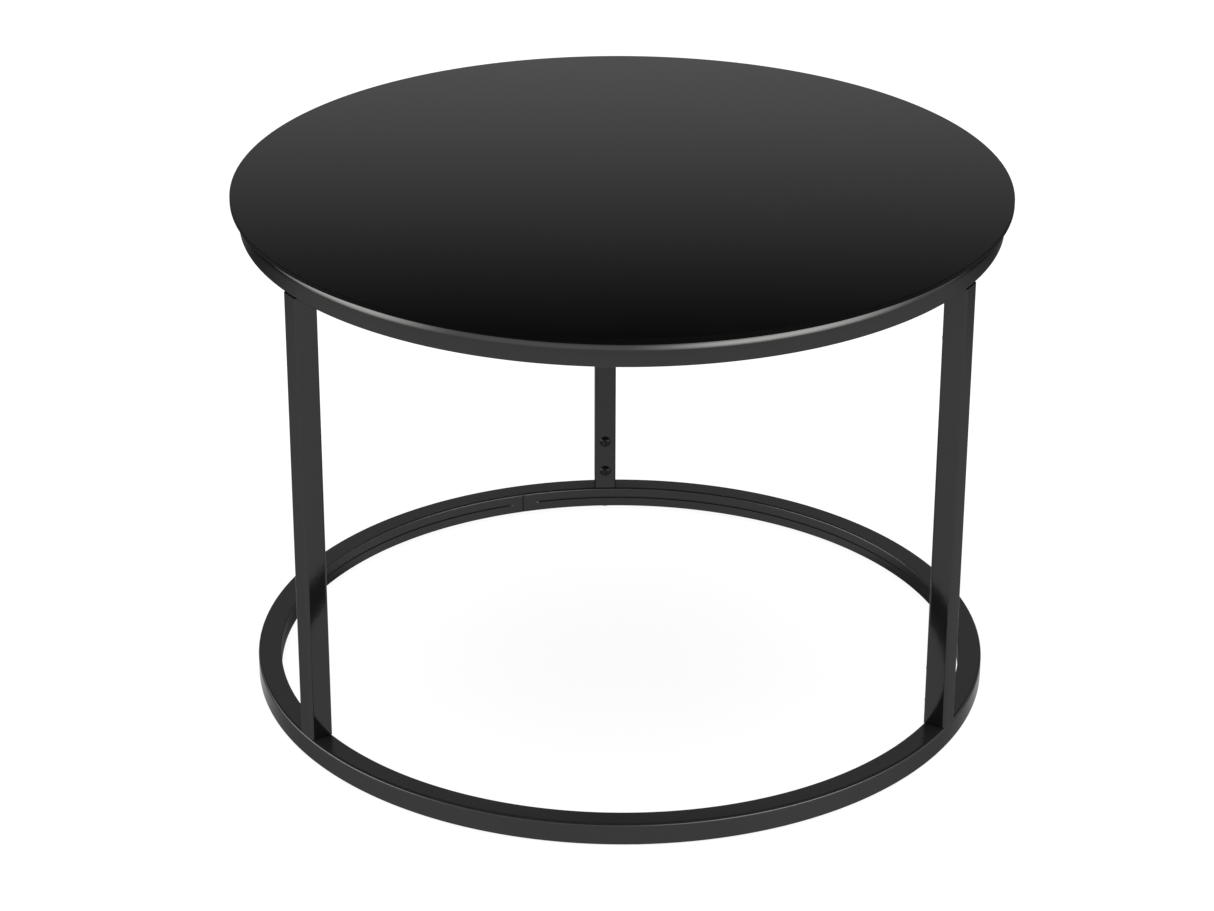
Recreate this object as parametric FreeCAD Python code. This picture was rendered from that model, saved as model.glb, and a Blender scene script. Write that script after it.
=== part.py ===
"""A round side table: a loose black glass top on a steel frame that comes apart.

The frame is two hoops of square tube, one under the glass and one on the floor, and three
upright legs between them. The walls of the upper hoop lean in a little towards its top. Each leg
is a square tube slipped over a short stub post on either hoop and held there by two screws in
its inner face.

Millimetres, +Z up. The origin is on the floor under the centre of the top. One leg stands on
the +Y axis at the back, and -Y is the open front.
"""

import FreeCAD, Part
import math
import os

V = FreeCAD.Vector
UP = V(0, 0, 1)
CENTRE = V(0, 0, 0)
OUTWARD = V(1, 0, 0)

# Glass top
GLASS_DIAMETER = 650
GLASS_THICKNESS = 4
GLASS_ARRIS = 0.4

# Hoops, bent from square tube and butt-welded into a ring
HOOP_OUTER_RADIUS = 318
TUBE_SIZE = 20
TUBE_WALL = 1.5
TUBE_CORNER = 2.5
CROWN_START = 15.5
CROWN_LEAN = 18
CROWN_RADIUS = 20
CROWN_CORNER = 2
WELD_WIDTH = 1.2
WELD_PROUD = 0.2
WELD_FROM_BACK_LEG = 15

# Legs, stub posts and the angles that the legs stand at
LEG_LENGTH = 400
LEG_AZIMUTH = {"back": 90, "left": 90 + 121.7, "right": 90 - 121.7}
STUB_LENGTH = 66
STUB_CLEARANCE = 0.2
STUB_WALL = 3

# M6 button-head screws, ISO 7380
SCREW_DISTANCES = {"near": 18, "far": 49}
SCREW_THREAD_RADIUS = 3
SCREW_LENGTH = 10
SCREW_FIT = 0.05
SCREW_HEAD_RADIUS = 5.25
SCREW_HEAD_HEIGHT = 3.3
SCREW_HEAD_RIM = 0.4
SCREW_SOCKET_FLATS = 4
SCREW_SOCKET_DEPTH = 2.1
SCREW_TIP_CHAMFER = 0.5
LEG_HOLE_RADIUS = 3.3

# Pads under the glass and under the bottom hoop
PADS_PER_HOOP = 6
GLASS_PAD_RADIUS = 4
GLASS_PAD_HEIGHT = 3
GLASS_PAD_EDGE = 0.6
FLOOR_PAD_RADIUS = 7
FLOOR_PAD_HEIGHT = 1
FLOOR_PAD_EDGE = 0.25

# Worked-out sizes and levels
HOOP_INNER_RADIUS = HOOP_OUTER_RADIUS - TUBE_SIZE
HOOP_RADIUS = HOOP_OUTER_RADIUS - TUBE_SIZE / 2
BORE_SIZE = TUBE_SIZE - 2 * TUBE_WALL
BORE_CORNER = TUBE_CORNER - TUBE_WALL
STUB_SIZE = BORE_SIZE - 2 * STUB_CLEARANCE
BASE_RING_BOTTOM = FLOOR_PAD_HEIGHT
BASE_RING_TOP = BASE_RING_BOTTOM + TUBE_SIZE
TOP_RING_BOTTOM = BASE_RING_TOP + LEG_LENGTH
TOP_RING_TOP = TOP_RING_BOTTOM + TUBE_SIZE
GLASS_BOTTOM = TOP_RING_TOP + GLASS_PAD_HEIGHT
CROWN_INSET = (TUBE_SIZE - CROWN_START) * math.tan(math.radians(CROWN_LEAN))


def rounded_outline(corners, radii):
    """A closed wire through the corner points, each rounded by its own radius."""
    arcs = []
    for i, corner in enumerate(corners):
        towards_before = (corners[i - 1] - corner).normalize()
        towards_after = (corners[(i + 1) % len(corners)] - corner).normalize()
        inward = (towards_before + towards_after).normalize()
        half_angle = inward.getAngle(towards_after)
        tangent = radii[i] / math.tan(half_angle)
        centre = corner + inward * (radii[i] / math.sin(half_angle))
        start = corner + towards_before * tangent
        end = corner + towards_after * tangent
        arcs.append((start, centre - inward * radii[i], end))
    edges = []
    for i, (start, middle, end) in enumerate(arcs):
        edges.append(Part.Arc(start, middle, end).toShape())
        edges.append(Part.LineSegment(end, arcs[(i + 1) % len(arcs)][0]).toShape())
    return Part.Wire(edges)


def square_section(size, corner):
    """The outline of a square tube seen along its length, centred on the origin."""
    half = size / 2
    corners = [V(-half, -half, 0), V(half, -half, 0), V(half, half, 0), V(-half, half, 0)]
    return rounded_outline(corners, [corner] * 4)


def base_ring_section():
    """The outline of the bottom hoop's tube in the XZ plane."""
    inner, outer = HOOP_INNER_RADIUS, HOOP_OUTER_RADIUS
    low, high = BASE_RING_BOTTOM, BASE_RING_TOP
    corners = [V(inner, 0, low), V(outer, 0, low), V(outer, 0, high), V(inner, 0, high)]
    return rounded_outline(corners, [TUBE_CORNER] * 4)


def top_ring_section():
    """The outline of the top hoop's tube, whose walls lean in above CROWN_START."""
    inner, outer = HOOP_INNER_RADIUS, HOOP_OUTER_RADIUS
    low, high = TOP_RING_BOTTOM, TOP_RING_TOP
    bend = low + CROWN_START
    corners = [
        V(inner, 0, low),
        V(outer, 0, low),
        V(outer, 0, bend),
        V(outer - CROWN_INSET, 0, high),
        V(inner + CROWN_INSET, 0, high),
        V(inner, 0, bend),
    ]
    upper_radii = [CROWN_RADIUS, CROWN_CORNER, CROWN_CORNER, CROWN_RADIUS]
    return rounded_outline(corners, [TUBE_CORNER, TUBE_CORNER] + upper_radii)


def tube_face(outline, bore):
    """The flat face between a tube's outline and its bore."""
    return Part.makeFace([outline, bore], "Part::FaceMakerBullseye")


def turned(shape, azimuth):
    """The shape turned about the table's axis from +X to the azimuth."""
    copy = shape.copy()
    copy.rotate(CENTRE, UP, azimuth)
    return copy


def hoop_sector(outline, bore, first_azimuth, sweep):
    """A stretch of hollow hoop from first_azimuth on, through sweep degrees."""
    return turned(tube_face(outline, bore).revolve(CENTRE, UP, sweep), first_azimuth)


def hoop_and_weld(section):
    """A hoop of bent tube with that section, and the weld bead that joins its two ends."""
    bore = section.makeOffset2D(-TUBE_WALL)
    weld_section = section.makeOffset2D(WELD_PROUD)
    weld_sweep = math.degrees(WELD_WIDTH / HOOP_RADIUS)
    weld_start = LEG_AZIMUTH["back"] + WELD_FROM_BACK_LEG
    hoop = hoop_sector(section, bore, weld_start + weld_sweep, 360 - weld_sweep)
    weld = hoop_sector(weld_section, bore, weld_start, weld_sweep)
    return hoop, weld


def square_tube(size, wall, corner, length):
    """A square tube standing on the XY plane, centred on the Z axis."""
    outline = square_section(size, corner)
    bore = square_section(size - 2 * wall, BORE_CORNER)
    return tube_face(outline, bore).extrude(UP * length)


def drill_inner_face(tube, radius, heights):
    """The tube with a round hole at each height in the face on its -X side."""
    for height in heights:
        drill = Part.makeCylinder(radius, TUBE_SIZE / 2, V(-TUBE_SIZE / 2, 0, height), OUTWARD)
        tube = tube.cut(drill)
    return tube


def leg():
    """One leg at azimuth 0, with two screw holes at either end of its inner face."""
    tube = square_tube(TUBE_SIZE, TUBE_WALL, TUBE_CORNER, LEG_LENGTH)
    from_bottom = list(SCREW_DISTANCES.values())
    from_top = [LEG_LENGTH - distance for distance in from_bottom]
    tube = drill_inner_face(tube, LEG_HOLE_RADIUS, from_bottom + from_top)
    tube.translate(V(HOOP_RADIUS, 0, BASE_RING_TOP))
    return tube


def base_stub():
    """The post welded on the bottom hoop at azimuth 0, which the leg slips over."""
    post = square_tube(STUB_SIZE, STUB_WALL, TUBE_CORNER, STUB_LENGTH)
    post = drill_inner_face(post, SCREW_THREAD_RADIUS, list(SCREW_DISTANCES.values()))
    post.translate(V(HOOP_RADIUS, 0, BASE_RING_TOP))
    return post


def mirrored_to_top(shape):
    """The same piece at the leg's upper end: its mirror image in the leg's middle."""
    leg_middle = V(0, 0, (BASE_RING_TOP + TOP_RING_BOTTOM) / 2)
    return shape.mirror(leg_middle, UP)


def button_head_screw():
    """A screw along +X with the underside of its head on the YZ plane."""
    head_top = V(-SCREW_HEAD_HEIGHT, 0, 0)
    rim_top = V(-SCREW_HEAD_RIM, 0, SCREW_HEAD_RADIUS)
    rim_bottom = V(0, 0, SCREW_HEAD_RADIUS)
    dome_depth = SCREW_HEAD_HEIGHT - SCREW_HEAD_RIM
    dome_radius = (SCREW_HEAD_RADIUS**2 + dome_depth**2) / (2 * dome_depth)
    dome_centre = head_top + OUTWARD * dome_radius
    half_angle = math.asin(SCREW_HEAD_RADIUS / dome_radius) / 2
    dome_middle = dome_centre + V(-math.cos(half_angle), 0, math.sin(half_angle)) * dome_radius
    shank_radius = SCREW_THREAD_RADIUS - SCREW_FIT
    corners = [
        rim_top,
        rim_bottom,
        V(0, 0, shank_radius),
        V(SCREW_LENGTH - SCREW_TIP_CHAMFER, 0, shank_radius),
        V(SCREW_LENGTH, 0, shank_radius - SCREW_TIP_CHAMFER),
        V(SCREW_LENGTH, 0, 0),
        head_top,
    ]
    edges = [Part.LineSegment(a, b).toShape() for a, b in zip(corners, corners[1:])]
    edges.append(Part.Arc(head_top, dome_middle, rim_top).toShape())
    body = Part.Face(Part.Wire(edges)).revolve(CENTRE, OUTWARD, 360)
    return body.cut(hex_socket(head_top))


def hex_socket(mouth):
    """The hexagonal prism cut into a screw's head from its mouth inwards."""
    corner_radius = SCREW_SOCKET_FLATS / math.sqrt(3)
    angles = [math.radians(60 * i) for i in range(7)]
    corners = [mouth + V(0, math.sin(a), math.cos(a)) * corner_radius for a in angles]
    return Part.Face(Part.makePolygon(corners)).extrude(OUTWARD * SCREW_SOCKET_DEPTH)


def base_screw(distance):
    """A screw at azimuth 0, that distance above the leg's lower end."""
    screw = button_head_screw()
    screw.translate(V(HOOP_INNER_RADIUS, 0, BASE_RING_TOP + distance))
    return screw


def pad(radius, height, edge, level):
    """A round pad at azimuth 0 on a hoop's middle line, with both rims rounded off."""
    disc = Part.makeCylinder(radius, height, V(HOOP_RADIUS, 0, level))
    rims = [e for e in disc.Edges if len(e.Vertexes) == 1]
    return disc.makeFillet(edge, rims)


def pads(name, shape):
    """Equal pads round a hoop, the first one in line with the back leg."""
    step = 360 / PADS_PER_HOOP
    return {
        f"{name}_{i + 1}": turned(shape, LEG_AZIMUTH["back"] + i * step)
        for i in range(PADS_PER_HOOP)
    }


def glass_top():
    """The round glass plate with its two sharp edges ground off."""
    plate = Part.makeCylinder(GLASS_DIAMETER / 2, GLASS_THICKNESS, V(0, 0, GLASS_BOTTOM))
    rims = [e for e in plate.Edges if len(e.Vertexes) == 1]
    return plate.makeChamfer(GLASS_ARRIS, rims)


def leg_and_fixings(side, azimuth):
    """One leg with its two stub posts and four screws."""
    pieces = {
        f"leg_{side}": leg(),
        f"base_stub_{side}": base_stub(),
        f"top_stub_{side}": mirrored_to_top(base_stub()),
    }
    for place, distance in SCREW_DISTANCES.items():
        pieces[f"base_screw_{side}_{place}"] = base_screw(distance)
        pieces[f"top_screw_{side}_{place}"] = mirrored_to_top(base_screw(distance))
    return {name: turned(shape, azimuth) for name, shape in pieces.items()}


def table():
    """Every piece of the table, by name."""
    pieces = {"glass_top": glass_top()}
    pieces["top_ring"], pieces["top_ring_weld"] = hoop_and_weld(top_ring_section())
    pieces["base_ring"], pieces["base_ring_weld"] = hoop_and_weld(base_ring_section())
    for side, azimuth in LEG_AZIMUTH.items():
        pieces.update(leg_and_fixings(side, azimuth))
    glass_pad = pad(GLASS_PAD_RADIUS, GLASS_PAD_HEIGHT, GLASS_PAD_EDGE, TOP_RING_TOP)
    floor_pad = pad(FLOOR_PAD_RADIUS, FLOOR_PAD_HEIGHT, FLOOR_PAD_EDGE, 0)
    pieces.update(pads("glass_pad", glass_pad))
    pieces.update(pads("floor_pad", floor_pad))
    return pieces


os.makedirs("parts", exist_ok=True)
for name, shape in table().items():
    print(f"{name:24s} valid {shape.isValid()}  {shape.Volume / 1000:9.3f} cm3")
    shape.exportStep(f"parts/{name}.step")
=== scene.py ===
"""The looks of a round side table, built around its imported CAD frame. Metres, +Z up.

The glass top, both hoops, the legs, welds, screws and pads are fine meshes that stand for their
CAD nodes, at sizes read from those nodes. The stub posts inside the legs stay as they are.
"""

import math

import bpy
from mathutils import Matrix, Vector

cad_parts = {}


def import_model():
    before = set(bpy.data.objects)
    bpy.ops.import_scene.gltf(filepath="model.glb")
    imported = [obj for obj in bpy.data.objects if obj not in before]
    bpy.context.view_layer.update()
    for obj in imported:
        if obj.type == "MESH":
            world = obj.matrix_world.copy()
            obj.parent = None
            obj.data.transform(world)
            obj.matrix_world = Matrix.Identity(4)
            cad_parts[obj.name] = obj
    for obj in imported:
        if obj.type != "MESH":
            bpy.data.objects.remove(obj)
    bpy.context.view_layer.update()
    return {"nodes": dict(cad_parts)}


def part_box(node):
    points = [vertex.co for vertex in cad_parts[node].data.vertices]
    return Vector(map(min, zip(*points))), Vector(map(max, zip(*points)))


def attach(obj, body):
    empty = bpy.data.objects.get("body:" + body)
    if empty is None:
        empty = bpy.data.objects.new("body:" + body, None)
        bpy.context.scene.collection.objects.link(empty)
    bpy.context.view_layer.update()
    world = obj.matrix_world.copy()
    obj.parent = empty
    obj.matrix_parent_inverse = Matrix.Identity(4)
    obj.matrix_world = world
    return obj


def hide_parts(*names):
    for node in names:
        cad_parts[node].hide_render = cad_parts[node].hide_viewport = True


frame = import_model()

MM = 0.001
TAU = 2 * math.pi
FRAME_BODY = "frame"
TOP_BODY = "top"

# Sizes that the CAD nodes give
GLASS_LOW, GLASS_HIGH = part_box("glass_top")
GLASS_RADIUS = GLASS_HIGH.x
BASE_RING_LOW, BASE_RING_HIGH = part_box("base_ring")
TUBE_SIZE = BASE_RING_HIGH.z - BASE_RING_LOW.z
HOOP_INNER_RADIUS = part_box("leg_back")[0].y
HOOP_OUTER_RADIUS = HOOP_INNER_RADIUS + TUBE_SIZE
HOOP_RADIUS = HOOP_INNER_RADIUS + TUBE_SIZE / 2
LEG_BOTTOM = BASE_RING_HIGH.z
LEG_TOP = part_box("top_ring")[0].z

# Mesh quality
SHARP_ANGLE = math.radians(32)
HOOP_SEGMENTS = 480
GLASS_SEGMENTS = 512
CORNER_STEPS = 7

# Tube sections
TUBE_CORNER = 2.5 * MM
TUBE_WALL = 1.5 * MM
BORE_CORNER = TUBE_CORNER - TUBE_WALL
CROWN_START = 15.5 * MM
CROWN_LEAN = math.radians(18)
CROWN_RADIUS = 20 * MM
CROWN_CORNER = 2 * MM
CROWN_INSET = (TUBE_SIZE - CROWN_START) * math.tan(CROWN_LEAN)
CUT_EDGE = 0.25 * MM

# Glass; the ring shares place its inner rings of faces, the limit tells its faces from its edge
GLASS_ARRIS = 0.4 * MM
GLASS_RING_SHARES = (0.02, 0.25, 0.5, 0.75, 0.95, 0.99)
GLASS_FACE_LIMIT = 0.9

# The tube's own seam, and how far from the butt weld it fades in
TUBE_SEAM_WIDTH = 1.9 * MM
TUBE_SEAM_DEPTH = 0.9 * MM
TUBE_SEAM_FLOOR_SHARE = 1 / 3
TUBE_SEAM_FADE = (7.7 * MM, 20.9 * MM)

# Butt weld, and the undercut on either side of it
WELD_BEAD_SIDES = 12
WELD_BEAD_WIDTH = 1.8 * MM
WELD_BEAD_PROUD = 0.3 * MM
WELD_INNER_BLEND = 0.3 * MM
WELD_FLUSH = 0.02 * MM
WELD_ROOT = 0.5 * MM
WELD_RIPPLE = 1.2 * MM
WELD_RIPPLE_SHARE = 0.25
WELD_POINTS_PER_RIPPLE = 4
UNDERCUT_OFFSETS = (0.85 * MM, 1.25 * MM, 1.75 * MM, 2.3 * MM)
UNDERCUT_SHAPE = (0, 1, 1, 0)
UNDERCUT_DEPTH = {1: 0.6 * MM, -1: 0.15 * MM}

# M6 button-head screw
SCREW_SIDES = 48
SCREW_TWISTS = 60
SCREW_TWIST_STRIDE = 7
SCREW_HEAD_RADIUS = 5.25 * MM
SCREW_HEAD_HEIGHT = 3.3 * MM
SCREW_HEAD_RIM = 0.4 * MM
SCREW_RIM_ROUND = 0.15 * MM
SCREW_DOME_STEPS = 10
SCREW_LENGTH = 10 * MM
SCREW_TIP_START = 9.3 * MM
SCREW_THREAD_RADIUS = 2.95 * MM
SCREW_THREAD_DEPTH = 0.55 * MM
SCREW_PITCH = 1 * MM
SCREW_RINGS_PER_TURN = 8
SOCKET_FLATS = 4 * MM
SOCKET_DEPTH = 2.1 * MM
SOCKET_CONE = 0.6 * MM
SOCKET_CHAMFER = 0.25 * MM

# Pads
GLASS_PAD_EDGE = 0.6 * MM
GLASS_PAD_BULGE = 0.2 * MM
FLOOR_PAD_EDGE = 0.25 * MM
PAD_SEGMENTS = 48
PAD_EDGE_STEPS = 5

# Camera, at the angle of the reference view
CAMERA_DISTANCE = 2.6918
CAMERA_HEIGHT = 1.4781
CAMERA_TURN = math.radians(-2.834)
CAMERA_PAN = math.radians(0.251)
CAMERA_DEPRESSION = math.radians(25.451)
CAMERA_ROLL = math.radians(0.186)
CAMERA_LENS = 102.49
CAMERA_SENSOR = 36
CAMERA_CLIP_END = 100

# Studio
FLOOR_HALF = 20.0
FLOOR_GLOW = 0.95
# Painted shadow and shade in the floor's glow as gloss sees it: behind the table, and inside the low
# hoop at its sides
FLOOR_PAINTED_SHADOW_BEHIND = (0.15, 0.8)
FLOOR_PAINTED_SHADE_RADII = (0.235, 0.28)
FLOOR_PAINTED_SHADE_SIDES = (0.2, 0.27)
FLOOR_PAINTED_SHADE_SHARE = 0.75
FLOOR_COLOUR = (0.05, 0.05, 0.05, 1)
WHITE = (1, 1, 1, 1)
WORLD_SEEN = 1.0
WORLD_DIFFUSE = 0.42
WORLD_GLOSS = 0.03
OVERHEAD_SIZE = 3.2
OVERHEAD_HEIGHT = 2.6
OVERHEAD_POWER = 330

# The round wall of light; azimuths in degrees from the camera's side, to the right positive
WALL_RADIUS = 2.2
WALL_HEIGHT = 1.6
WALL_SEGMENTS = 90
FRONT_LIGHT = 1.05
FRONT_FADE = (0.75, 1.1)
BACK_LIGHT = 0.43
BACK_FADE = (1.0, 1.6)
BACK_SLOPE = 0.38
FRONT_TO_BACK = (95, 150)
RIGHT_LIGHT = 9.3
RIGHT_EDGES = (0, 32, 48, 92)
LEFT_LIGHT = 8.2
LEFT_EDGES = (-170, -80, -74, -42)
MIDDLE_LIGHT = 0.9
SOFTBOX_FOOT = (-0.15, 0.38)
SOFTBOX_FADE = (0.55, 0.85)

# The card close behind the table
LOW_CARD_LIGHT = 0.6
LOW_CARD_DISTANCE = 0.37
LOW_CARD_HALF_WIDTH = 0.42
LOW_CARD_TOP = 0.458

# The black coat: a low, nearly even reflectance with a little diffuse black under it
COAT_METALLIC = 0.8
COAT_GRAZING_TINT = (0.38, 0.38, 0.38, 1)
COAT_COLOUR = (0.0365, 0.0362, 0.0357)
COAT_VARIATION = 0.07
COAT_ROUGHNESS = (0.06, 0.1)

# A mix node's sockets for colours
MIX_FACTOR = 0
MIX_FIRST = 6
MIX_SECOND = 7
MIX_RESULT = 2


# ---------------------------------------------------------------- mesh building


def new_piece(name, points, faces):
    """A smooth-shaded object made from points and faces, with crisp edges where they turn sharply."""
    mesh = bpy.data.meshes.new(name)
    mesh.from_pydata(points, [], faces)
    mesh.polygons.foreach_set("use_smooth", [True] * len(mesh.polygons))
    mesh.set_sharp_from_angle(angle=SHARP_ANGLE)
    mesh.validate()
    piece = bpy.data.objects.new(name, mesh)
    bpy.context.scene.collection.objects.link(piece)
    normals = piece.modifiers.new("even_normals", "WEIGHTED_NORMAL")
    normals.mode = "FACE_AREA"
    normals.keep_sharp = True
    return piece


def band(first, second, size):
    """Quads between two loops of size points that start at those indices."""
    faces = []
    for i in range(size):
        following = (i + 1) % size
        faces.append((first + i, first + following, second + following, second + i))
    return faces


def closed_loft(name, loops):
    """A closed skin through loops of equal size, the last one joined to the first."""
    size = len(loops[0])
    points = [p for loop in loops for p in loop]
    faces = []
    for i in range(len(loops)):
        faces += band(i * size, (i + 1) % len(loops) * size, size)
    return new_piece(name, points, faces)


def capped_loft(name, start, loops, end):
    """A closed skin from the point start, through loops of equal size, to the point end."""
    size = len(loops[0])
    points = [start] + [p for loop in loops for p in loop] + [end]
    last = len(points) - 1
    faces = [(0, 1 + (i + 1) % size, 1 + i) for i in range(size)]
    for i in range(len(loops) - 1):
        faces += band(1 + i * size, 1 + (i + 1) * size, size)
    rim = last - size
    faces += [(last, rim + i, rim + (i + 1) % size) for i in range(size)]
    return new_piece(name, points, faces)


def arc(centre, radius, first, last, steps):
    """Points of an arc in a plane, both ends included."""
    angles = [first + (last - first) * i / steps for i in range(steps + 1)]
    return [(centre[0] + radius * math.cos(a), centre[1] + radius * math.sin(a)) for a in angles]


def rounded_outline(corners, radii):
    """An anticlockwise outline through the corner points, each rounded by its own radius."""
    outline = []
    for i, corner in enumerate(corners):
        corner = Vector(corner)
        before = (Vector(corners[i - 1]) - corner).normalized()
        after = (Vector(corners[(i + 1) % len(corners)]) - corner).normalized()
        inward = (before + after).normalized()
        half_angle = inward.angle(after)
        centre = corner + inward * (radii[i] / math.sin(half_angle))
        start = corner + before * (radii[i] / math.tan(half_angle)) - centre
        for k in range(CORNER_STEPS + 1):
            turn = Matrix.Rotation((math.pi - 2 * half_angle) * k / CORNER_STEPS, 2)
            outline.append(centre + turn @ start)
    return outline


def square(half, corner):
    """A square's outline round the origin, with rounded corners."""
    corners = [(-half, -half), (half, -half), (half, half), (-half, half)]
    return rounded_outline(corners, [corner] * 4)


def circle(radius, height, segments):
    """A level circle of points round the Z axis, clockwise seen from above."""
    angles = [-TAU * i / segments for i in range(segments)]
    return [(radius * math.cos(a), radius * math.sin(a), height) for a in angles]


def divided(outline, longest):
    """The closed outline with extra points, so that no side is much over longest."""
    result = []
    for i, start in enumerate(outline):
        end = outline[(i + 1) % len(outline)]
        parts = max(1, round(math.dist(start, end) / longest))
        for k in range(parts):
            t = k / parts
            result.append((start[0] + (end[0] - start[0]) * t, start[1] + (end[1] - start[1]) * t))
    return result


def smooth_step(value, low, high):
    """0 below low, 1 above high, and smooth in between."""
    t = min(max((value - low) / (high - low), 0), 1)
    return t * t * (3 - 2 * t)


def dress(piece, body, material, nodes):
    """Puts a piece on its body, in the place of its CAD nodes."""
    piece.data.materials.append(material)
    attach(piece, body)
    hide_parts(*nodes)


# ---------------------------------------------------------------- pieces


def weld_azimuth(node):
    """The azimuth of a hoop's weld, from the middle of its CAD node."""
    low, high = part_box(node)
    middle = (low + high) / 2
    return math.atan2(middle.y, middle.x)


def base_outline(bottom):
    """The bottom hoop's section as (radius, height)."""
    inner, outer, top = HOOP_INNER_RADIUS, HOOP_OUTER_RADIUS, bottom + TUBE_SIZE
    corners = [(inner, bottom), (outer, bottom), (outer, top), (inner, top)]
    return rounded_outline(corners, [TUBE_CORNER] * 4)


def top_outline(bottom):
    """The top hoop's section as (radius, height), with walls that lean in near the top."""
    inner, outer, top = HOOP_INNER_RADIUS, HOOP_OUTER_RADIUS, bottom + TUBE_SIZE
    bend = bottom + CROWN_START
    corners = [
        (inner, bottom),
        (outer, bottom),
        (outer, bend),
        (outer - CROWN_INSET, top),
        (inner + CROWN_INSET, top),
        (inner, bend),
    ]
    upper_radii = [CROWN_RADIUS, CROWN_CORNER, CROWN_CORNER, CROWN_RADIUS]
    return rounded_outline(corners, [TUBE_CORNER, TUBE_CORNER] + upper_radii)


def tube_seam(bottom, depth):
    """The groove of the tube's own seam, halfway up the hoop's inner wall."""
    middle = bottom + TUBE_SIZE / 2
    half = TUBE_SEAM_WIDTH / 2
    return [
        (HOOP_INNER_RADIUS, middle + half),
        (HOOP_INNER_RADIUS + depth, middle + half * TUBE_SEAM_FLOOR_SHARE),
        (HOOP_INNER_RADIUS + depth, middle - half * TUBE_SEAM_FLOOR_SHARE),
        (HOOP_INNER_RADIUS, middle - half),
    ]


def hoop_stations():
    """Places round a hoop as (distance from its weld, undercut depth), closer beside the weld."""
    step = TAU * HOOP_RADIUS / HOOP_SEGMENTS
    beside = [
        (way * offset, UNDERCUT_DEPTH[way] * share)
        for way in (-1, 1)
        for offset, share in zip(UNDERCUT_OFFSETS, UNDERCUT_SHAPE)
    ]
    far = [(step * i, 0) for i in range(1 - HOOP_SEGMENTS // 2, HOOP_SEGMENTS // 2 + 1) if i]
    return sorted(beside + far + [(0, 0)])


def hoop(name, outline_from, material):
    """One hoop of bent tube; its seam fades out where the butt weld was ground."""
    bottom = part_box(name)[0].z
    weld = weld_azimuth(f"{name}_weld")
    outline = outline_from(bottom)
    loops = []
    for distance, undercut in hoop_stations():
        azimuth = weld + distance / HOOP_RADIUS
        fade = smooth_step(abs(distance), *TUBE_SEAM_FADE)
        section = []
        for r, z in outline + tube_seam(bottom, TUBE_SEAM_DEPTH * fade):
            r += undercut * (1 - smooth_step(r, HOOP_INNER_RADIUS, HOOP_INNER_RADIUS + TUBE_CORNER))
            section.append((r * math.cos(azimuth), r * math.sin(azimuth), z))
        loops.append(section)
    piece = closed_loft(f"{name}_tube", loops)
    dress(piece, FRAME_BODY, material, [name])


def weld_bead(name, outline_from, material):
    """The butt weld round a hoop's tube: rippled on the inner wall, ground flush elsewhere."""
    azimuth = weld_azimuth(f"{name}_weld")
    along = Vector((-math.sin(azimuth), math.cos(azimuth), 0))
    outward = Vector((math.cos(azimuth), math.sin(azimuth), 0))
    outline = divided(outline_from(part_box(name)[0].z), WELD_RIPPLE / WELD_POINTS_PER_RIPPLE)
    loops = []
    for i, (r, z) in enumerate(outline):
        before = Vector(outline[i - 1])
        after = Vector(outline[(i + 1) % len(outline)])
        tangent = (after - before).normalized()
        normal = outward * tangent.y - Vector((0, 0, tangent.x))
        on_inner_wall = 1 - smooth_step(r, HOOP_INNER_RADIUS, HOOP_INNER_RADIUS + WELD_INNER_BLEND)
        ripple = 1 + WELD_RIPPLE_SHARE * math.sin(TAU * z / WELD_RIPPLE)
        proud = WELD_FLUSH + (WELD_BEAD_PROUD - WELD_FLUSH) * on_inner_wall * ripple
        centre = outward * r + Vector((0, 0, z))
        loop = []
        for k in range(WELD_BEAD_SIDES):
            angle = TAU * k / WELD_BEAD_SIDES
            lift = proud * math.sin(angle) if angle < math.pi else WELD_ROOT * math.sin(angle)
            loop.append(centre + along * (WELD_BEAD_WIDTH / 2 * math.cos(angle)) + normal * lift)
        loops.append(loop)
    piece = closed_loft(f"{name}_weld_bead", loops)
    dress(piece, FRAME_BODY, material, [f"{name}_weld"])


def leg_place(side):
    """The turn that takes a leg built along the +X axis to its own azimuth."""
    low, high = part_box(f"leg_{side}")
    middle = (low + high) / 2
    return Matrix.Rotation(math.atan2(middle.y, middle.x), 4, "Z")


def leg(side, material):
    """A square tube, open inside, with its cut ends slightly rounded."""
    half = TUBE_SIZE / 2
    bore = half - TUBE_WALL

    def loop(size, corner, height):
        return [(HOOP_RADIUS + x, y, height) for x, y in square(size, corner)]

    loops = [
        loop(half - CUT_EDGE, TUBE_CORNER - CUT_EDGE, LEG_BOTTOM),
        loop(half, TUBE_CORNER, LEG_BOTTOM + CUT_EDGE),
        loop(half, TUBE_CORNER, LEG_TOP - CUT_EDGE),
        loop(half - CUT_EDGE, TUBE_CORNER - CUT_EDGE, LEG_TOP),
        loop(bore, BORE_CORNER, LEG_TOP),
        loop(bore, BORE_CORNER, LEG_BOTTOM),
    ]
    piece = closed_loft(f"leg_{side}_tube", loops)
    piece.data.transform(leg_place(side))
    dress(piece, FRAME_BODY, material, [f"leg_{side}"])


def glass_disc(material, edge_material):
    """The glass plate, with rings of faces out to a ground arris on both rims."""
    low, high = GLASS_LOW.z, GLASS_HIGH.z
    rings = [GLASS_RADIUS * share for share in GLASS_RING_SHARES]
    rim = GLASS_RADIUS - GLASS_ARRIS
    profile = [(r, high) for r in rings + [rim]]
    profile += [(GLASS_RADIUS, high - GLASS_ARRIS), (GLASS_RADIUS, low + GLASS_ARRIS)]
    profile += [(r, low) for r in [rim] + rings[::-1]]
    loops = [circle(r, z, GLASS_SEGMENTS) for r, z in profile]
    piece = capped_loft("glass_disc", (0, 0, high), loops, (0, 0, low))
    dress(piece, TOP_BODY, material, ["glass_top"])
    piece.data.materials.append(edge_material)
    for face in piece.data.polygons:
        face.material_index = int(abs(face.normal.z) < GLASS_FACE_LIMIT)


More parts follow.
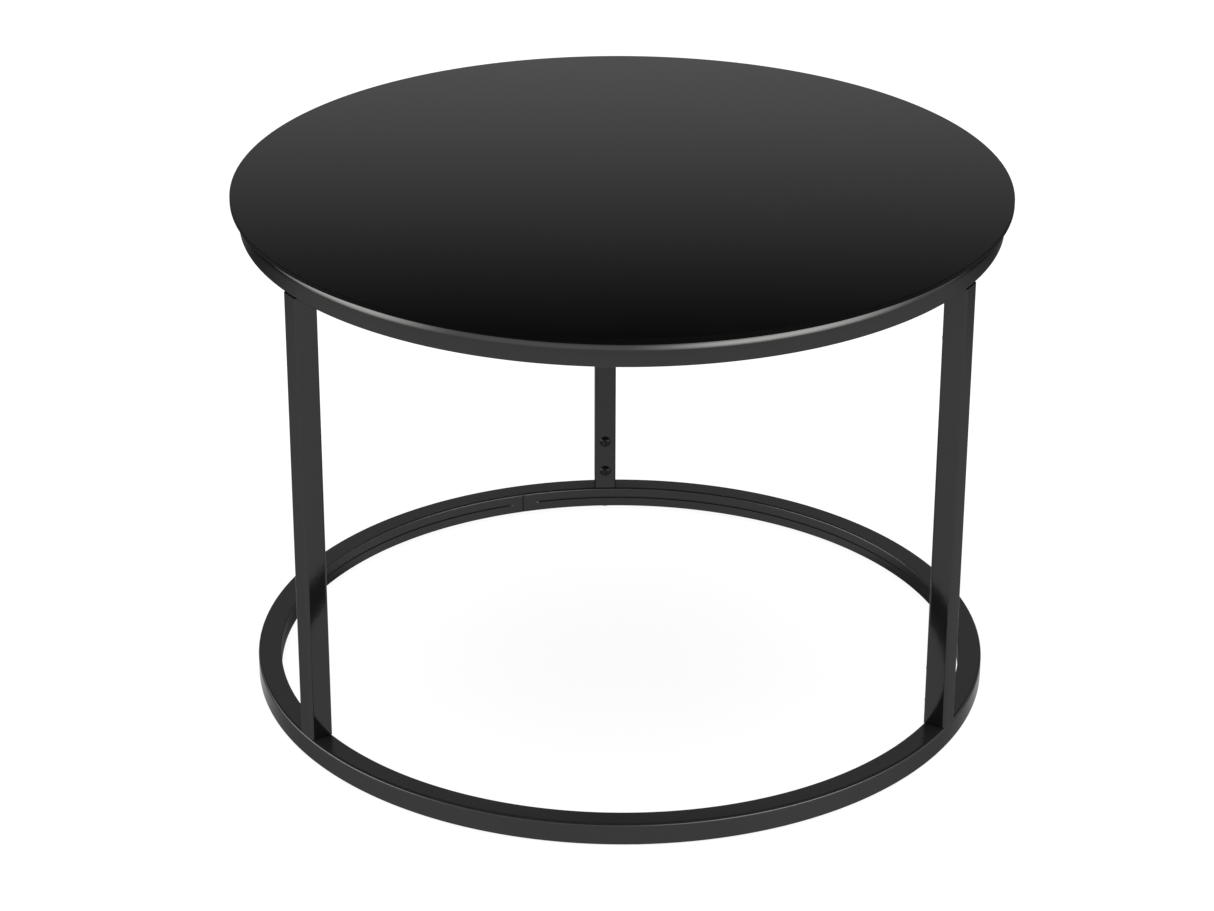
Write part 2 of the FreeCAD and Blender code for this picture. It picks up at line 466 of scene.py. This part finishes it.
def hexagon_radius(angle, flats):
    """The distance from a hexagon's centre to its side at that angle."""
    sixth = math.pi / 3
    return flats / 2 / math.cos((angle + sixth / 2) % sixth - sixth / 2)


def screw_sections():
    """A button-head screw as (distance along its axis, radius at an angle), socket floor first."""
    head_top = -SCREW_HEAD_HEIGHT
    floor = head_top + SOCKET_DEPTH
    mouth_radius = SOCKET_FLATS / math.sqrt(3) + SOCKET_CHAMFER
    dome_depth = SCREW_HEAD_HEIGHT - SCREW_HEAD_RIM
    dome_radius = (SCREW_HEAD_RADIUS**2 + dome_depth**2) / (2 * dome_depth)
    dome_centre = head_top + dome_radius
    first = math.asin(mouth_radius / dome_radius)
    last = math.asin(SCREW_HEAD_RADIUS / dome_radius)
    mouth = dome_centre - dome_radius * math.cos(first)

    def hexagon(angle):
        return hexagon_radius(angle, SOCKET_FLATS)

    def round_(radius):
        return lambda angle: radius

    sections = [(floor, hexagon), (mouth + SOCKET_CHAMFER, hexagon)]
    for i in range(SCREW_DOME_STEPS + 1):
        tilt = first + (last - first) * i / SCREW_DOME_STEPS
        x = dome_centre - dome_radius * math.cos(tilt)
        sections.append((x, round_(dome_radius * math.sin(tilt))))
    sections.append((-SCREW_RIM_ROUND, round_(SCREW_HEAD_RADIUS)))
    sections.append((0, round_(SCREW_HEAD_RADIUS - SCREW_RIM_ROUND)))
    return sections + thread_sections()


def thread_sections():
    """The threaded shank's sections, from under the head to the tip, where the thread runs out."""

    def thread(x, depth):
        def radius(angle):
            phase = (x / SCREW_PITCH - angle / TAU) % 1
            return SCREW_THREAD_RADIUS - depth * abs(2 * phase - 1)

        return radius

    rings = round(SCREW_LENGTH / SCREW_PITCH * SCREW_RINGS_PER_TURN)
    sections = []
    for i in range(rings + 1):
        x = SCREW_LENGTH * i / rings
        run_in = smooth_step(x, 0, SCREW_PITCH)
        run_out = 1 - smooth_step(x, SCREW_TIP_START, SCREW_LENGTH)
        sections.append((x, thread(x, SCREW_THREAD_DEPTH * run_in * run_out)))
    return sections


def screw_loop(x, radius_at):
    """The ring of points of one screw section, round the X axis."""
    angles = [TAU * i / SCREW_SIDES for i in range(SCREW_SIDES)]
    return [(x, radius_at(a) * math.sin(a), radius_at(a) * math.cos(a)) for a in angles]


def screw(node, material):
    """One screw in its CAD node's place, turned about its own axis by an angle its name gives."""
    low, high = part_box(node)
    middle = (low + high) / 2
    azimuth = math.atan2(middle.y, middle.x)
    twist = math.radians(sum(ord(c) for c in node) * SCREW_TWIST_STRIDE % SCREW_TWISTS)
    loops = [screw_loop(x, radius_at) for x, radius_at in screw_sections()]
    floor = -SCREW_HEAD_HEIGHT + SOCKET_DEPTH + SOCKET_CONE
    piece = capped_loft(f"{node}_piece", (floor, 0, 0), loops, (SCREW_LENGTH, 0, 0))
    piece.data.transform(Matrix.Rotation(twist, 4, "X"))
    piece.data.transform(Matrix.Translation((HOOP_INNER_RADIUS, 0, middle.z)))
    piece.data.transform(Matrix.Rotation(azimuth, 4, "Z"))
    dress(piece, FRAME_BODY, material, [node])


def pad(node, edge, bulge, material):
    """A round pad with rounded rims and sides that swell by the bulge."""
    low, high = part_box(node)
    centre = (low + high) / 2
    radius = (high.x - low.x) / 2
    quarter = math.pi / 2
    side = arc((radius - edge, high.z - edge), edge, quarter, 0, PAD_EDGE_STEPS)
    side.append((radius + bulge, centre.z))
    side += arc((radius - edge, low.z + edge), edge, 0, -quarter, PAD_EDGE_STEPS)
    loops = [circle(r, z, PAD_SEGMENTS) for r, z in side]
    piece = capped_loft(f"{node}_piece", (0, 0, high.z), loops, (0, 0, low.z))
    piece.data.transform(Matrix.Translation((centre.x, centre.y, 0)))
    dress(piece, FRAME_BODY, material, [node])


# ---------------------------------------------------------------- materials


class Nodes:
    """A short way to write a node tree."""

    def __init__(self, owner):
        owner.use_nodes = True
        self.tree = owner.node_tree
        self.tree.nodes.clear()

    def add(self, kind, values=None, **settings):
        """A new node, with its settings and the values or links of its inputs."""
        node = self.tree.nodes.new(kind)
        for key, value in settings.items():
            setattr(node, key, value)
        for key, value in (values or {}).items():
            if isinstance(value, bpy.types.NodeSocket):
                self.tree.links.new(value, node.inputs[key])
            else:
                node.inputs[key].default_value = value
        return node


def spread(nodes, source, low, high, to_low, to_high):
    """The source, taken smoothly from one range to another."""
    values = {"Value": source, "From Min": low, "From Max": high, "To Min": to_low, "To Max": to_high}
    return nodes.add("ShaderNodeMapRange", values, interpolation_type="SMOOTHSTEP").outputs["Result"]


def noise(nodes, place, scale, detail):
    """Noise of roughly that many features to the metre."""
    values = {"Vector": place, "Scale": scale, "Detail": detail}
    return nodes.add("ShaderNodeTexNoise", values).outputs["Fac"]


def two_colours(nodes, factor, first, second):
    """A colour between first and second."""
    values = {MIX_FACTOR: factor, MIX_FIRST: first, MIX_SECOND: second}
    return nodes.add("ShaderNodeMix", values, data_type="RGBA").outputs[MIX_RESULT]


def grey(level):
    """An opaque grey."""
    return (level, level, level, 1)


def material_with(name):
    """A new material, its nodes, and where each point is on the object."""
    material = bpy.data.materials.new(name)
    nodes = Nodes(material)
    place = nodes.add("ShaderNodeTexCoord").outputs["Object"]
    return material, nodes, place


def finish_material(nodes, values):
    """The shader with those values, joined to the output."""
    shader = nodes.add("ShaderNodeBsdfPrincipled", values)
    nodes.add("ShaderNodeOutputMaterial", {"Surface": shader.outputs["BSDF"]})


def paint(name, colour, rougher=0.0, texture=1.0):
    """Gloss coat with a fine orange peel, whose sheen hardly grows at grazing angles."""
    material, nodes, place = material_with(name)
    drift = noise(nodes, place, scale=9, detail=3)
    peel = noise(nodes, place, scale=420, detail=1)
    ripple = noise(nodes, place, scale=60, detail=1)
    darker = tuple(c * (1 - COAT_VARIATION) for c in colour) + (1,)
    lighter = tuple(c * (1 + COAT_VARIATION) for c in colour) + (1,)
    smoothest, roughest = (value + rougher for value in COAT_ROUGHNESS)
    height = nodes.add("ShaderNodeMath", {0: peel, 1: 0.25, 2: ripple}, operation="MULTIPLY_ADD")
    bump = nodes.add(
        "ShaderNodeBump",
        {"Height": height.outputs[0], "Strength": 0.1 * texture, "Distance": 0.0004},
    )
    finish_material(
        nodes,
        {
            "Base Color": two_colours(nodes, drift, darker, lighter),
            "Metallic": COAT_METALLIC,
            "Specular Tint": COAT_GRAZING_TINT,
            "Roughness": spread(nodes, drift, 0.3, 0.7, smoothest, roughest),
            "IOR": 1.5,
            "Normal": bump.outputs["Normal"],
        },
    )
    return material


def black_glass():
    """Black tempered glass: smooth, faintly wavy and faintly smudged."""
    material, nodes, place = material_with("black_glass")
    wave = noise(nodes, place, scale=7, detail=0)
    smudge = noise(nodes, place, scale=14, detail=4)
    bump = nodes.add("ShaderNodeBump", {"Height": wave, "Strength": 0.3, "Distance": 0.0002})
    finish_material(
        nodes,
        {
            "Base Color": two_colours(nodes, smudge, grey(0.0004), grey(0.0006)),
            "Roughness": spread(nodes, smudge, 0.45, 0.8, 0.03, 0.055),
            "IOR": 1.52,
            "Normal": bump.outputs["Normal"],
        },
    )
    return material


def ground_glass_edge():
    """The plate's finely ground black edge, which takes next to no sheen."""
    material, nodes, place = material_with("ground_glass_edge")
    grain = noise(nodes, place, scale=1500, detail=2)
    finish_material(
        nodes,
        {
            "Base Color": two_colours(nodes, grain, grey(0.0008), grey(0.0016)),
            "Roughness": spread(nodes, grain, 0.3, 0.7, 0.3, 0.45),
            "Specular IOR Level": 0.02,
        },
    )
    return material


def screw_black():
    """Black-finished steel with a fine grain."""
    material, nodes, place = material_with("screw_black")
    grain = noise(nodes, place, scale=900, detail=2)
    bump = nodes.add("ShaderNodeBump", {"Height": grain, "Strength": 0.15, "Distance": 0.0001})
    finish_material(
        nodes,
        {
            "Base Color": two_colours(nodes, grain, grey(0.003), (0.006, 0.006, 0.0057, 1)),
            "Roughness": spread(nodes, grain, 0.3, 0.7, 0.25, 0.35),
            "Specular IOR Level": 0.15,
            "Normal": bump.outputs["Normal"],
        },
    )
    return material


def clear_silicone():
    """A soft clear bumper, slightly hazy inside."""
    material, nodes, place = material_with("clear_silicone")
    haze = noise(nodes, place, scale=700, detail=2)
    finish_material(
        nodes,
        {
            "Base Color": two_colours(nodes, haze, (0.78, 0.8, 0.8, 1), (0.88, 0.9, 0.9, 1)),
            "Roughness": spread(nodes, haze, 0.3, 0.7, 0.15, 0.3),
            "IOR": 1.41,
            "Transmission Weight": 0.85,
        },
    )
    return material


def black_felt():
    """Dense pressed felt."""
    material, nodes, place = material_with("black_felt")
    fibre = noise(nodes, place, scale=2600, detail=4)
    bump = nodes.add("ShaderNodeBump", {"Height": fibre, "Strength": 0.7, "Distance": 0.0003})
    finish_material(
        nodes,
        {
            "Base Color": two_colours(nodes, fibre, (0.015, 0.015, 0.016, 1), (0.06, 0.06, 0.062, 1)),
            "Roughness": spread(nodes, fibre, 0.3, 0.7, 0.85, 1.0),
            "Sheen Weight": 0.4,
            "Normal": bump.outputs["Normal"],
        },
    )
    return material


# ---------------------------------------------------------------- studio


def plane(name, centre, right, up, material):
    """A flat stage piece with its centre and its two half sides."""
    centre, right, up = Vector(centre), Vector(right), Vector(up)
    corners = [centre - right - up, centre + right - up, centre + right + up, centre - right + up]
    return stage_piece(name, corners, [(0, 1, 2, 3)], material)


def stage_piece(name, points, faces, material):
    """A piece of the studio that is no part of the table."""
    mesh = bpy.data.meshes.new(name)
    mesh.from_pydata(points, [], faces)
    mesh.materials.append(material)
    piece = bpy.data.objects.new(name, mesh)
    bpy.context.scene.collection.objects.link(piece)
    return piece


def floor():
    """A white floor that glows evenly to the eye; the glow that gloss sees carries painted shadow
    behind the table and painted shade inside the low hoop at its sides.
    """
    material = bpy.data.materials.new("white_floor")
    nodes = Nodes(material)
    place = nodes.add("ShaderNodeTexCoord").outputs["Object"]
    axes = nodes.add("ShaderNodeSeparateXYZ", {0: place}).outputs
    radius = nodes.add("ShaderNodeVectorMath", {0: place}, operation="LENGTH").outputs["Value"]
    sideways = nodes.add("ShaderNodeMath", {0: axes["X"]}, operation="ABSOLUTE").outputs[0]
    # Painted shadow: behind the table the glow that gloss sees fades to nothing.
    behind = spread(nodes, axes["Y"], *FLOOR_PAINTED_SHADOW_BEHIND, FLOOR_GLOW, 0.0)
    # Painted shade: inside the low hoop, near its inner wall at the sides, the glow that gloss sees is
    # darker.
    inside = nodes.add("ShaderNodeMath", {0: radius, 1: HOOP_RADIUS}, operation="LESS_THAN").outputs[0]
    near_hoop = spread(nodes, radius, *FLOOR_PAINTED_SHADE_RADII, 0.0, 1.0)
    at_sides = spread(nodes, sideways, *FLOOR_PAINTED_SHADE_SIDES, 0.0, 1.0)
    shade = product(nodes, near_hoop, at_sides, inside)
    lit = spread(nodes, shade, 0.0, 1.0, 1.0, 1 - FLOOR_PAINTED_SHADE_SHARE)
    glow = nodes.add(
        "ShaderNodeMapRange",
        {
            "Value": nodes.add("ShaderNodeLightPath").outputs["Is Glossy Ray"],
            "To Min": FLOOR_GLOW,
            "To Max": product(nodes, behind, lit),
        },
    )
    values = {
        "Base Color": FLOOR_COLOUR,
        "Roughness": 0.9,
        "Specular IOR Level": 0.0,
        "Emission Color": WHITE,
        "Emission Strength": glow.outputs[0],
    }
    finish_material(nodes, values)
    plane("floor", (0, 0, 0), (FLOOR_HALF, 0, 0), (0, FLOOR_HALF, 0), material)


def chained(nodes, operation, first, *others):
    """The values joined one after another by the same operation."""
    result = first
    for value in others:
        result = nodes.add("ShaderNodeMath", {0: result, 1: value}, operation=operation).outputs[0]
    return result


def product(nodes, *factors):
    """All the factors multiplied together."""
    return chained(nodes, "MULTIPLY", *factors)


def total(nodes, *terms):
    """All the terms added together."""
    return chained(nodes, "ADD", *terms)


def glow_from(nodes, light):
    """Makes the light what the material gives off."""
    emission = nodes.add("ShaderNodeEmission", {"Strength": light})
    nodes.add("ShaderNodeOutputMaterial", {"Surface": emission.outputs[0]})


def softbox(nodes, azimuth, strength, edges):
    """Light that rises between the first two edge azimuths and falls between the last two."""
    first, second, third, fourth = (math.radians(edge) for edge in edges)
    rise = spread(nodes, azimuth, first, second, 0.0, strength)
    fall = spread(nodes, azimuth, third, fourth, 1.0, 0.0)
    return product(nodes, rise, fall)


def light_wall():
    """A round wall of light that only gloss sees: softboxes in front, a dim card of light behind."""
    material = bpy.data.materials.new("light_wall")
    nodes = Nodes(material)
    place = nodes.add("ShaderNodeTexCoord").outputs["Object"]
    axes = nodes.add("ShaderNodeSeparateXYZ", {0: place}).outputs
    azimuth = nodes.add("ShaderNodeMath", {0: axes["Y"], 1: axes["X"]}, operation="ARCTAN2").outputs[0]
    sideways = nodes.add("ShaderNodeMath", {0: azimuth}, operation="ABSOLUTE").outputs[0]
    first, last = (math.radians(edge) for edge in FRONT_TO_BACK)
    in_front = spread(nodes, sideways, first, last, 1.0, 0.0)
    behind = spread(nodes, sideways, first, last, 0.0, 1.0)
    front = front_light(nodes, axes, azimuth)
    back = back_light(nodes, axes)
    glow_from(nodes, total(nodes, product(nodes, front, in_front), product(nodes, back, behind)))
    points = circle(WALL_RADIUS, 0, WALL_SEGMENTS) + circle(WALL_RADIUS, WALL_HEIGHT, WALL_SEGMENTS)
    piece = stage_piece("light_wall", points, band(0, WALL_SEGMENTS, WALL_SEGMENTS), material)
    piece.matrix_world = Matrix.Rotation(-math.pi / 2 + CAMERA_TURN, 4, "Z")
    reflection_only(piece)


def front_light(nodes, axes, azimuth):
    """The wall's light on the camera's side: a softbox to the right and left, and an even fill."""
    boxes = total(
        nodes,
        softbox(nodes, azimuth, RIGHT_LIGHT, RIGHT_EDGES),
        softbox(nodes, azimuth, LEFT_LIGHT, LEFT_EDGES),
        MIDDLE_LIGHT,
    )
    foot = spread(nodes, axes["Z"], *SOFTBOX_FOOT, 0.0, 1.0)
    head = spread(nodes, axes["Z"], *SOFTBOX_FADE, 1.0, 0.0)
    fill = spread(nodes, axes["Z"], *FRONT_FADE, FRONT_LIGHT, 0.0)
    return total(nodes, product(nodes, boxes, foot, head), fill)


def back_light(nodes, axes):
    """The wall's light behind the table; its upper edge lies in the gloss as a straight line."""
    values = {0: axes["X"], 1: BACK_SLOPE, 2: axes["Z"]}
    height = nodes.add("ShaderNodeMath", values, operation="MULTIPLY_ADD").outputs[0]
    low, high = (edge - BACK_SLOPE * WALL_RADIUS for edge in BACK_FADE)
    return spread(nodes, height, low, high, BACK_LIGHT, 0.0)


def reflection_only(piece):
    """Keeps a piece of the studio out of sight, shadows and diffuse light: only gloss shows it."""
    piece.visible_camera = False
    piece.visible_diffuse = False
    piece.visible_shadow = False
    piece.visible_transmission = False
    piece.visible_volume_scatter = False


def low_card():
    """A card of light close behind the table, for the sheen on the low hoop's upper face."""
    material = bpy.data.materials.new("low_card")
    glow_from(Nodes(material), LOW_CARD_LIGHT)
    turn = Matrix.Rotation(CAMERA_TURN, 3, "Z")
    centre = turn @ Vector((0, LOW_CARD_DISTANCE, 0)) + Vector((0, 0, LOW_CARD_TOP / 2))
    across = turn @ Vector((LOW_CARD_HALF_WIDTH, 0, 0))
    reflection_only(plane("low_card", centre, across, (0, 0, LOW_CARD_TOP / 2), material))


def world():
    """White to the eye, a soft fill for the surfaces, and nearly black to the gloss."""
    scene_world = bpy.data.worlds.new("studio")
    bpy.context.scene.world = scene_world
    nodes = Nodes(scene_world)
    path = nodes.add("ShaderNodeLightPath").outputs
    unseen = nodes.add(
        "ShaderNodeMapRange",
        {"Value": path["Is Glossy Ray"], "To Min": WORLD_DIFFUSE, "To Max": WORLD_GLOSS},
    )
    strength = nodes.add(
        "ShaderNodeMapRange",
        {"Value": path["Is Camera Ray"], "To Min": unseen.outputs[0], "To Max": WORLD_SEEN},
    )
    background = nodes.add("ShaderNodeBackground", {"Strength": strength.outputs[0]})
    nodes.add("ShaderNodeOutputWorld", {"Surface": background.outputs[0]})


def overhead_light():
    """One large soft light straight above the table."""
    data = bpy.data.lights.new("overhead", "AREA")
    data.shape = "SQUARE"
    data.size = OVERHEAD_SIZE
    data.energy = OVERHEAD_POWER
    light = bpy.data.objects.new("overhead", data)
    light.location = (0, 0, OVERHEAD_HEIGHT)
    light.visible_camera = False
    light.visible_glossy = False
    bpy.context.scene.collection.objects.link(light)


def camera():
    """The camera, turned a little about the table's axis from the straight front."""
    data = bpy.data.cameras.new("camera")
    data.lens = CAMERA_LENS
    data.sensor_width = CAMERA_SENSOR
    data.clip_end = CAMERA_CLIP_END
    piece = bpy.data.objects.new("camera", data)
    turn = Matrix.Rotation(CAMERA_TURN, 4, "Z")
    place = Matrix.Translation((0, -CAMERA_DISTANCE, CAMERA_HEIGHT))
    pan = Matrix.Rotation(CAMERA_PAN, 4, "Z")
    tilt = Matrix.Rotation(math.pi / 2 - CAMERA_DEPRESSION, 4, "X")
    roll = Matrix.Rotation(CAMERA_ROLL, 4, "Z")
    piece.matrix_world = turn @ place @ pan @ tilt @ roll
    bpy.context.scene.collection.objects.link(piece)
    bpy.context.scene.camera = piece


def studio():
    """Floor, world, lights and the camera."""
    bpy.context.scene.view_settings.view_transform = "Standard"
    floor()
    world()
    overhead_light()
    light_wall()
    low_card()
    camera()


# ---------------------------------------------------------------- the table


def table():
    """Every visible piece of the table."""
    coat = paint("black_powder_coat", COAT_COLOUR)
    low_hoop_coat = paint("black_low_hoop_coat", COAT_COLOUR, 0.15)
    weld_coat = paint("black_weld_coat", COAT_COLOUR, 0.18, 1.6)
    stub_coat = paint("black_stub_coat", COAT_COLOUR, 0.05)
    steel = screw_black()
    silicone = clear_silicone()
    felt = black_felt()
    glass_disc(black_glass(), ground_glass_edge())
    hoop("top_ring", top_outline, coat)
    hoop("base_ring", base_outline, low_hoop_coat)
    weld_bead("top_ring", top_outline, weld_coat)
    weld_bead("base_ring", base_outline, weld_coat)
    for side in ("back", "left", "right"):
        leg(side, coat)
    for node, piece in sorted(frame["nodes"].items()):
        if "_screw_" in node:
            screw(node, steel)
        elif "_stub_" in node:
            piece.data.materials[0] = stub_coat
        elif node.startswith("glass_pad"):
            pad(node, GLASS_PAD_EDGE, GLASS_PAD_BULGE, silicone)
        elif node.startswith("floor_pad"):
            pad(node, FLOOR_PAD_EDGE, 0, felt)


studio()
table()
